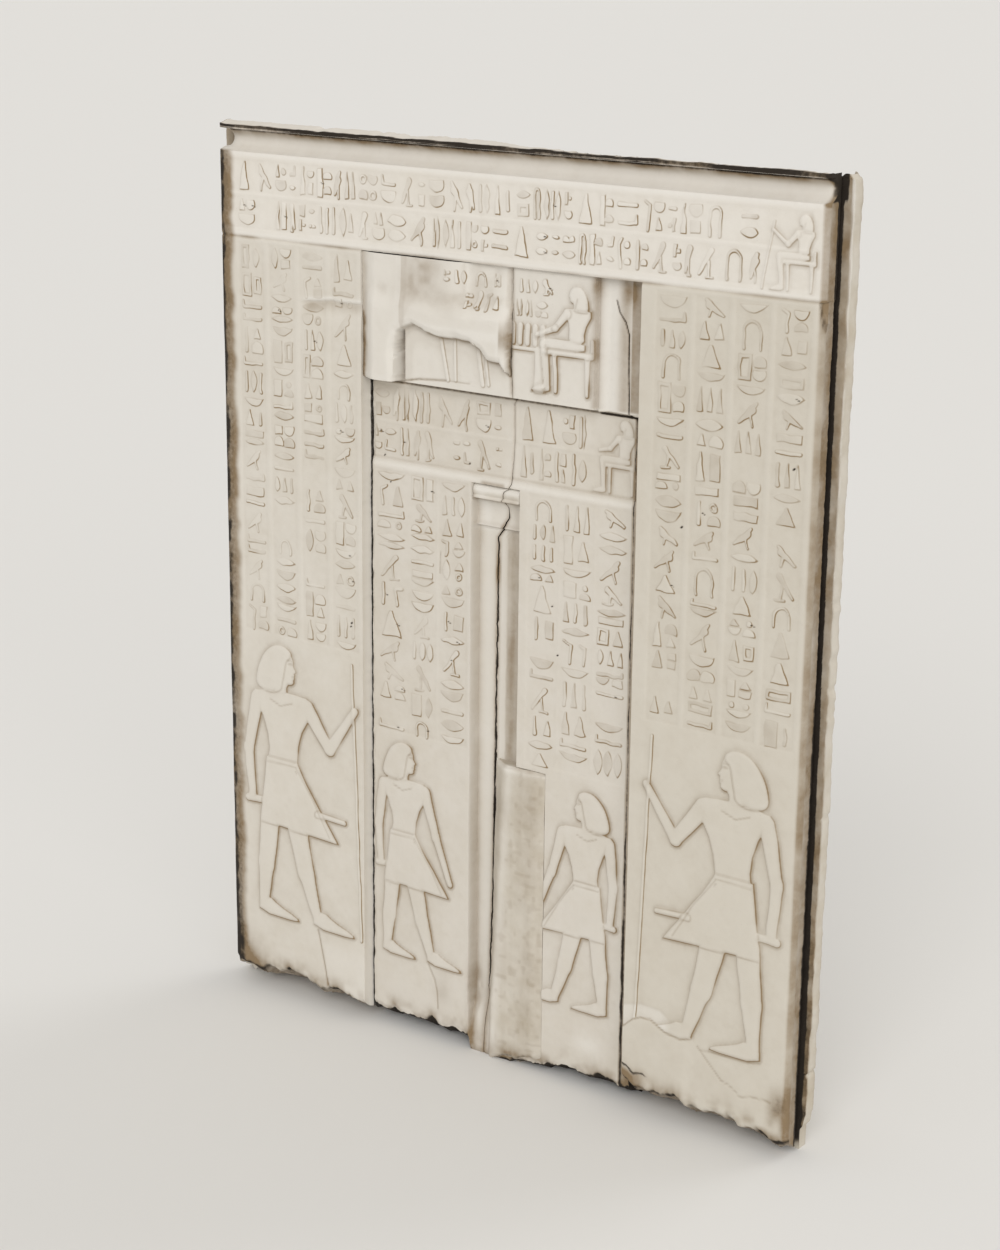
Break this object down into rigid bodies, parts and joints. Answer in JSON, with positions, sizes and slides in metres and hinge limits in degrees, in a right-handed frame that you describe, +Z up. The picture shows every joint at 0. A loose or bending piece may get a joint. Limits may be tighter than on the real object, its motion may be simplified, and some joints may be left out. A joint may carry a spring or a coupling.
{
  "type": "stone false door",
  "caption": "Carved limestone false door: cavetto cornice, inscribed lintels and jambs with raised figures, a split inner panel with tablet and niche, standing on a rough backing block.",
  "frame": {"origin": "centre of the bounding box's underside, on the ground", "axes": "+Z up, the carved face looks along -Y, X runs across the face with +X on the viewer's right"},
  "size_m": [1.2788, 0.234, 1.669],
  "materials": {
    "backing": "rough dressed limestone with brown patina",
    "frame": "matt carved limestone with brown patina at its edges",
    "niche_fill": "matt mottled repair stone",
    "panel_left": "matt carved limestone, worn smooth in places",
    "panel_right": "matt carved limestone, worn in places"
  },
  "bodies": {
    "root": {"backing": "backing", "frame": "frame", "niche_fill": "niche_fill", "panel_left": "panel_left", "panel_right": "panel_right"}
  },
  "joints": []
}
